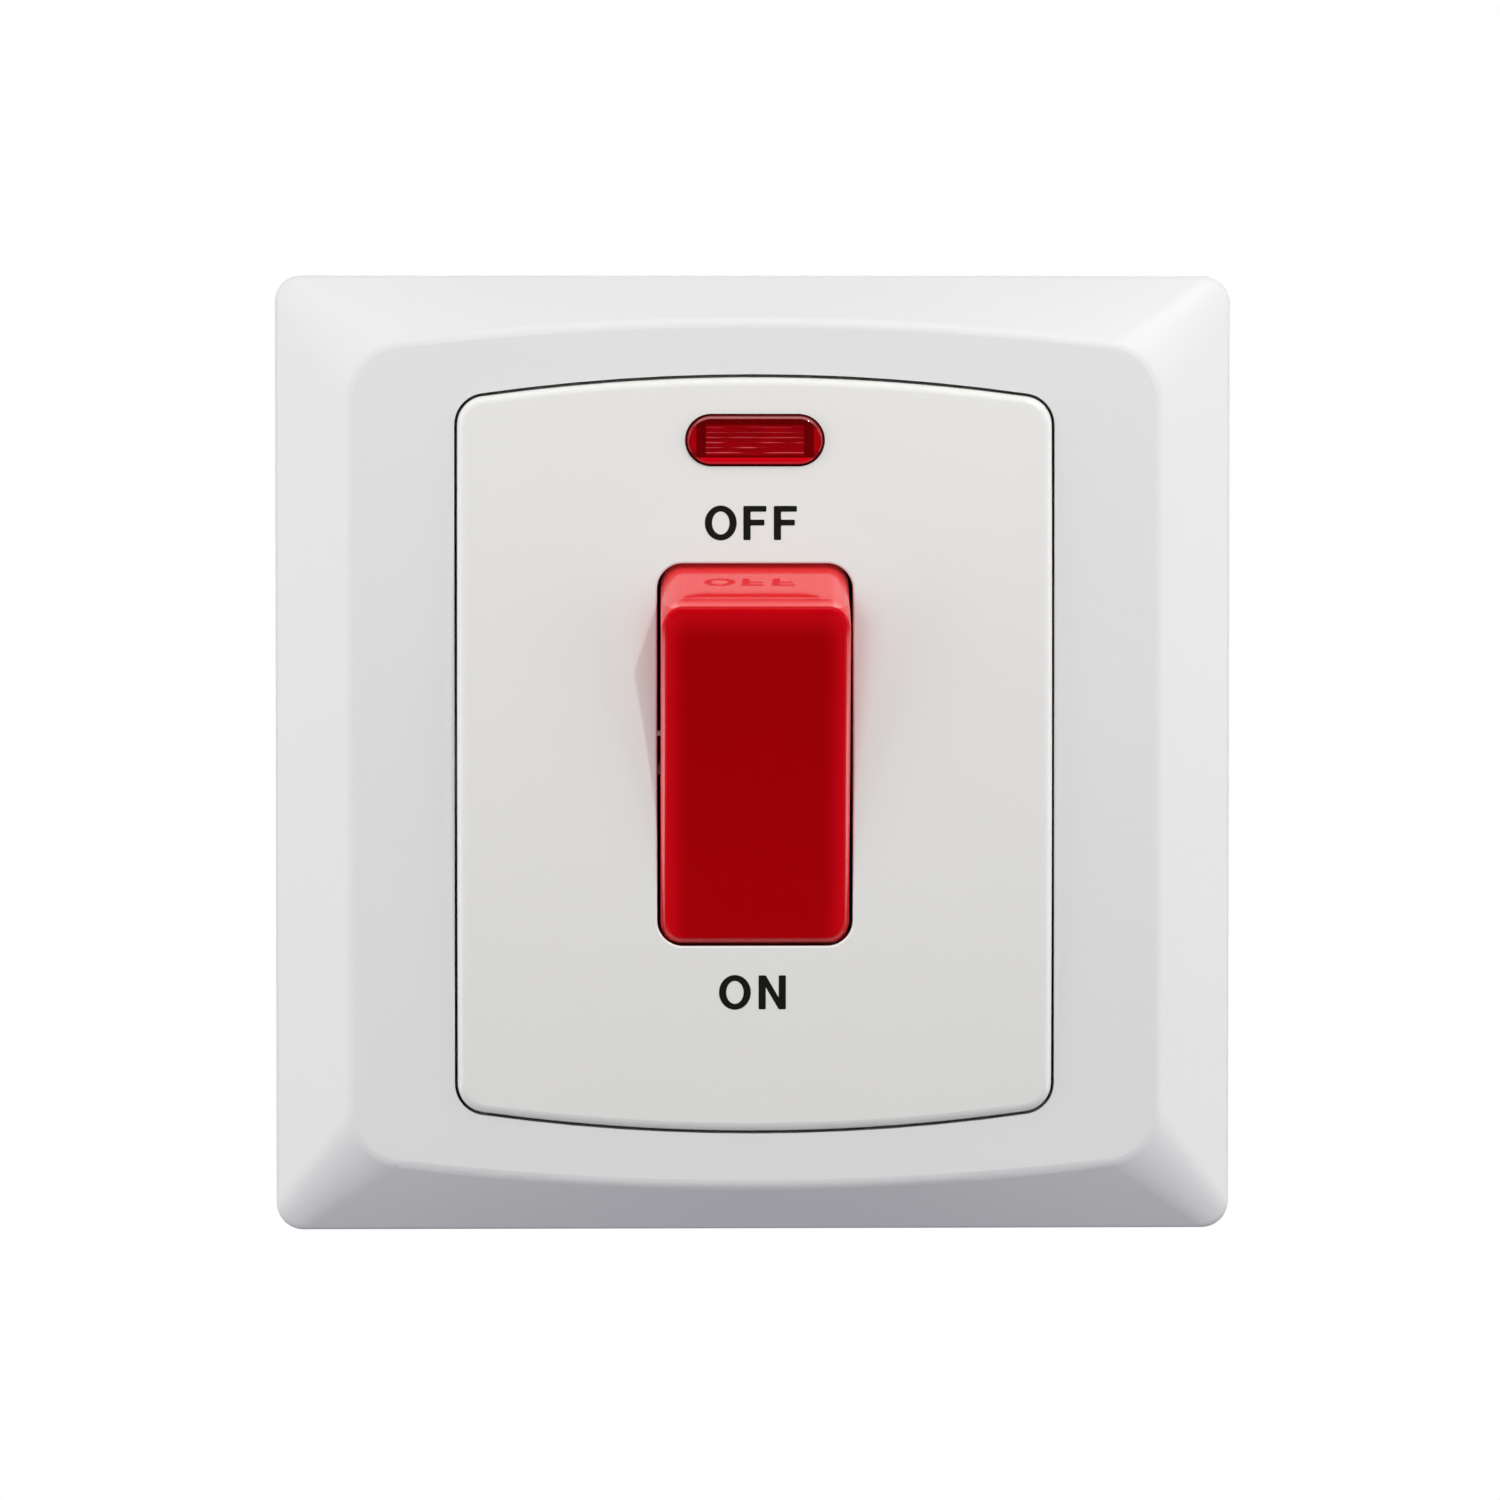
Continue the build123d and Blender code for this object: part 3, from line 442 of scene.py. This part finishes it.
# The share of bright red: painted light and shade, with random streaks on the ribbed part.
depth = ribbed * (0.08 + 0.4 * streak) + 0.50 * painted_end_light + 1.05 * painted_lower_wall_light - 0.10 * painted_upper_shade
tone = lens.noise(3)
body = lens.blend(depth + 0.08 * tone, (0.17, 0.0012, 0.0022), (0.88, 0.0030, 0.0120))

# The painted highlight line under the upper edge, and the polish.
painted_upper_highlight = lens.ramp(inset, 0.20, 0.23) * (1 - lens.ramp(inset, 0.29, 0.33))
painted_upper_highlight = 0.8 * painted_upper_highlight * lens.ramp(up, -0.2, 1.2)
edge = lens.ramp(inset, 0.05, 0.42) * lens.ramp(up, -0.4, 1.2)
lens.show(
    Base_Color=lens.blend(painted_rib_glints + painted_upper_highlight, body, (1.0, 0.14, 0.15)),
    Roughness=0.02 + 0.03 * tone,
    Normal=lens.bump(edge, 0.15),
)

# The rim in painted shade, dark and dull, and the round ends, which mirror little.
painted_dark_rim = 1 - lens.ramp(inset, 0.09, 0.17)
quiet = 0.7 * lens.ramp(across, LENS_END - 1.35, LENS_END - 0.55)
quiet = quiet * (1 - lens.ramp(inset, 0.35, 0.50))
calm = lens.blend(depth, (0.11, 0.0008, 0.0014), (0.50, 0.0018, 0.0070))
lens.cover(
    1 - (1 - painted_dark_rim) * (1 - quiet),
    lens.blend(painted_dark_rim, calm, (0.110, 0.0010, 0.0014)),
).on("neon_lens")


# Front plate: warm white moulding with the crowned face, its skirt and the fixing flange.
# The face comes polished from the tool, with the least ripple in its shine.
# Two screws through the flange hold it to the wall box.
plate = Finish("plate_white_polished", IOR=1.5)
drift = plate.noise(18)
ripple = plate.noise(2.2)
dust = plate.noise(0.45, 1) > 0.80
soil = 0.8 * drift + 0.2 * dust
plate.show(
    Base_Color=plate.blend(soil, (0.840, 0.832, 0.803), (0.810, 0.802, 0.773)),
    Roughness=0.20 + 0.08 * ripple,
    Normal=plate.bump(ripple, 0.002),
).on("front_plate")


# Lettering: ON and OFF pad printed in black ink on the plate's face.
# The ink lies two hundredths of a millimetre thick, dull, with softened corners.
LETTER_HEIGHT = 3.05
STEM = 0.64
ARM = 0.52
LETTER_CORNER = 0.1
INK = 0.02
FACE_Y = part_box("front_plate")[0].y


def start(add, **settings):
    """A new primitive alone in edit mode, standing up and facing the room."""
    bpy.ops.object.select_all(action="DESELECT")
    add(rotation=(radians(90), 0, 0), **settings)
    bpy.ops.object.transform_apply(location=True, rotation=True, scale=True)
    bpy.ops.object.mode_set(mode="EDIT")
    bpy.ops.mesh.select_mode(type="EDGE")


def pick_edge(x, z):
    """Selects only the edge whose middle lies at a place in millimetres."""
    bpy.ops.mesh.select_all(action="DESELECT")
    bpy.ops.object.mode_set(mode="OBJECT")
    mesh = bpy.context.object.data
    middle = Vector((x * MM, FACE_Y, z * MM))
    ends = [[mesh.vertices[i].co for i in edge.vertices] for edge in mesh.edges]
    off = [((a + b) / 2 - middle).length for a, b in ends]
    mesh.edges[off.index(min(off))].select = True
    bpy.ops.object.mode_set(mode="EDIT")


def draw_out(x, z, across, up):
    """Extrudes the edge at a place by a step across and up."""
    pick_edge(x, z)
    step = {"value": (across * MM, 0, up * MM)}
    bpy.ops.mesh.extrude_region_move(TRANSFORM_OT_translate=step)


def stem(left, base, cuts):
    """Upright of a letter, cut across at heights above its base."""
    middle = ((left + STEM / 2) * MM, FACE_Y, (base + LETTER_HEIGHT / 2) * MM)
    start(bpy.ops.mesh.primitive_plane_add, size=1, location=middle)
    bpy.ops.mesh.select_all(action="SELECT")
    bpy.ops.transform.resize(value=(STEM * MM, 1, LETTER_HEIGHT * MM), center_override=middle)
    for cut in cuts:
        bpy.ops.mesh.select_all(action="SELECT")
        bpy.ops.mesh.bisect(plane_co=(0, 0, (base + cut) * MM), plane_no=(0, 0, 1))


def finish_strokes():
    """Softens a letter's corners and goes back to object mode."""
    bpy.ops.mesh.select_all(action="SELECT")
    bpy.ops.mesh.dissolve_limited(angle_limit=radians(2))
    bpy.ops.mesh.select_mode(type="VERT")
    bpy.ops.mesh.select_all(action="SELECT")
    bpy.ops.mesh.bevel(affect="VERTICES", offset=LETTER_CORNER * MM, segments=4)
    bpy.ops.object.mode_set(mode="OBJECT")
    return bpy.context.object


def letter_f(left, base):
    head_length, arm_length = 1.42, 1.24
    arm_low = 1.30
    arm_top = arm_low + ARM
    head_low = LETTER_HEIGHT - ARM
    stem(left, base, (arm_low, arm_top, head_low))
    side = left + STEM
    draw_out(side, base + (head_low + LETTER_HEIGHT) / 2, head_length, 0)
    draw_out(side, base + (arm_low + arm_top) / 2, arm_length, 0)
    return finish_strokes()


def letter_n(left, base):
    waist = 2.0
    between = 1.16
    stem(left, base, (waist,))
    side = left + STEM
    joint = base + (waist + LETTER_HEIGHT) / 2
    draw_out(side, joint, between, -waist)
    draw_out(side + between, joint - waist, STEM, 0)
    draw_out(side + between + STEM / 2, base + LETTER_HEIGHT - waist, 0, waist)
    return finish_strokes()


def letter_o(left, base):
    half_width, half_height = 1.42, LETTER_HEIGHT / 2 + 0.03
    top_stroke = 0.53
    middle = ((left + half_width) * MM, FACE_Y, (base + LETTER_HEIGHT / 2) * MM)
    start(bpy.ops.mesh.primitive_circle_add, vertices=72, radius=1, location=middle)
    bpy.ops.mesh.select_all(action="SELECT")
    outer = (half_width * MM, 1, half_height * MM)
    bpy.ops.transform.resize(value=outer, center_override=middle)
    bpy.ops.mesh.extrude_region_move(TRANSFORM_OT_translate={"value": (0, 0, 0)})
    inner = (1 - STEM / half_width, 1, 1 - top_stroke / half_height)
    bpy.ops.transform.resize(value=inner, center_override=middle)
    bpy.ops.object.mode_set(mode="OBJECT")
    return bpy.context.object


ink = Finish("lettering_black_ink", Specular_IOR_Level=0.15)
film = ink.noise(0.5, 3)
ink.show(
    Base_Color=ink.blend(film, (0.006, 0.006, 0.005), (0.011, 0.011, 0.009)),
    Roughness=0.42 + 0.2 * film,
)


def print_word(name, letters):
    """Joins letters and lays them on the plate's face as a thin film of ink."""
    bpy.ops.object.select_all(action="DESELECT")
    for letter in letters:
        letter.select_set(True)
    bpy.context.view_layer.objects.active = letters[0]
    bpy.ops.object.join()
    word = bpy.context.object
    word.name = word.data.name = name
    bpy.ops.object.mode_set(mode="EDIT")
    bpy.ops.mesh.select_all(action="SELECT")
    bpy.ops.transform.translate(value=(0, -MM, 0))
    bpy.ops.object.mode_set(mode="OBJECT")
    wrap = word.modifiers.new("lay", "SHRINKWRAP")
    wrap.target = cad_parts["front_plate"]
    wrap.wrap_method = "PROJECT"
    wrap.use_project_y = True
    wrap.use_positive_direction = True
    wrap.use_negative_direction = False
    wrap.offset = INK * MM / 2
    bpy.ops.object.modifier_apply(modifier=wrap.name)
    thick = word.modifiers.new("film", "SOLIDIFY")
    thick.thickness = INK * MM
    thick.offset = 0
    bpy.ops.object.modifier_apply(modifier=thick.name)
    word.data.materials.append(ink.material)
    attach(word, "switch_body")


OFF_BASE = 19.18
ON_BASE = -22.78
print_word(
    "lettering_off",
    [letter_o(-4.48, OFF_BASE), letter_f(-1.04, OFF_BASE), letter_f(1.68, OFF_BASE)],
)
print_word("lettering_on", [letter_o(-3.22, ON_BASE), letter_n(0.32, ON_BASE)])


# Surround: white snap-on frame moulded in one piece, satin, with a soft crest round the land.
# Four barbed legs behind it catch in the plate's flange and cover the fixing screws.
satin = Finish("surround_white_satin", IOR=1.5)
wash = satin.noise(20)
sand = satin.noise(0.22)
satin.show(
    Base_Color=satin.blend(wash, (0.775, 0.775, 0.772), (0.805, 0.805, 0.802)),
    Roughness=0.40 + 0.14 * sand,
    Normal=satin.bump(sand, 0.006),
).on("surround_frame")


# Studio: a pale paper floor well below, white all round, and soft boxes above, at both sides
# and behind. Two weak ones in front light the faces without being mirrored in them.
# The camera stands in front, a touch to the left and above, on a long lens.
FLOOR_SIZE = 1.1
FLOOR_HEIGHT = -0.24
bpy.ops.object.select_all(action="DESELECT")
bpy.ops.mesh.primitive_plane_add(size=FLOOR_SIZE, location=(0, 0, FLOOR_HEIGHT))
floor = bpy.context.object
floor.name = "floor"
bpy.ops.object.transform_apply(location=True)
pale = Finish("floor_pale_paper", Emission_Color=(1, 1, 1, 1), Emission_Strength=0.4)
fibre = pale.noise(4, 3)
pale.show(
    Base_Color=pale.blend(fibre, (0.80, 0.80, 0.80), (0.84, 0.84, 0.84)),
    Roughness=0.75 + 0.15 * fibre,
)
floor.data.materials.append(pale.material)
floor.visible_diffuse = floor.visible_glossy = floor.visible_transmission = False


def soft_box(name, place, size, power, mirrored=True):
    """Lamp of a width and height at a place in metres, turned to the switch."""
    lamp = bpy.data.lights.new(name, "AREA")
    lamp.shape = "RECTANGLE"
    lamp.size, lamp.size_y = size
    lamp.energy = power
    holder = bpy.data.objects.new(name, lamp)
    bpy.context.scene.collection.objects.link(holder)
    holder.location = place
    holder.rotation_euler = Vector(place).to_track_quat("Z", "Y").to_euler()
    holder.visible_camera = False
    holder.visible_glossy = mirrored


soft_box("key", (0.19, -0.29, 0.36), (0.02, 0.02), 0.66)
soft_box("top_box", (0.0, -0.22, 0.46), (1.20, 0.30), 1.64)
soft_box("left_box", (-0.49, -0.09, 0.03), (0.40, 0.50), 1.40)
soft_box("right_box", (0.49, -0.09, 0.03), (0.40, 0.50), 1.28)
soft_box("front_left_box", (-0.25, -0.43, 0.05), (0.25, 0.30), 0.69, mirrored=False)
soft_box("front_right_box", (0.25, -0.43, 0.05), (0.25, 0.30), 0.44, mirrored=False)
soft_box("back_box", (0.10, 0.60, 0.25), (0.50, 0.40), 2.5)

world = bpy.data.worlds.new("studio_white")
bpy.context.scene.world = world
sky = Nodes(world)
sky.tree.nodes.clear()
way = sky.node("TexCoord", output="Generated")
rear = sky.along(way, (0, 1, 0))
below = 1 - sky.ramp(sky.along(way, (0, 0, 1)), -0.4, -0.1)
from_below = 0.26 * below * sky.ramp(rear, -0.9, -0.7)
from_behind = 0.30 * (1 - below) * sky.ramp(rear, 0.1, 0.6)
dim = {"Color": (1.0, 1.0, 1.22, 1), "Strength": from_below + from_behind}
fill = sky.node("Background", None, dim)
seen = sky.node("Background", None, {"Color": (1, 1, 1, 1), "Strength": 1.0})
looking = sky.node("LightPath", output="Is Camera Ray")
either = sky.node("MixShader", None, {0: looking, 1: fill, 2: seen})
sky.node("OutputWorld", None, {"Surface": either})

DISTANCE = 0.65
FRAME_WIDTH = 0.13529
LEFT_TURN = radians(1.5)
RISE = radians(1.7)
aim = Vector((-0.00029, -0.003, 0.00025))
back = Vector((-sin(LEFT_TURN) * cos(RISE), -cos(LEFT_TURN) * cos(RISE), sin(RISE)))
camera = bpy.data.objects.new("camera", bpy.data.cameras.new("camera"))
bpy.context.scene.collection.objects.link(camera)
camera.location = aim + back * DISTANCE
camera.rotation_euler = back.to_track_quat("Z", "Y").to_euler()
camera.data.sensor_width = 36
camera.data.lens = camera.data.sensor_width * DISTANCE / FRAME_WIDTH
camera.data.clip_start = 0.01
camera.data.clip_end = 20
bpy.context.scene.camera = camera
bpy.context.scene.view_settings.view_transform = "Standard"
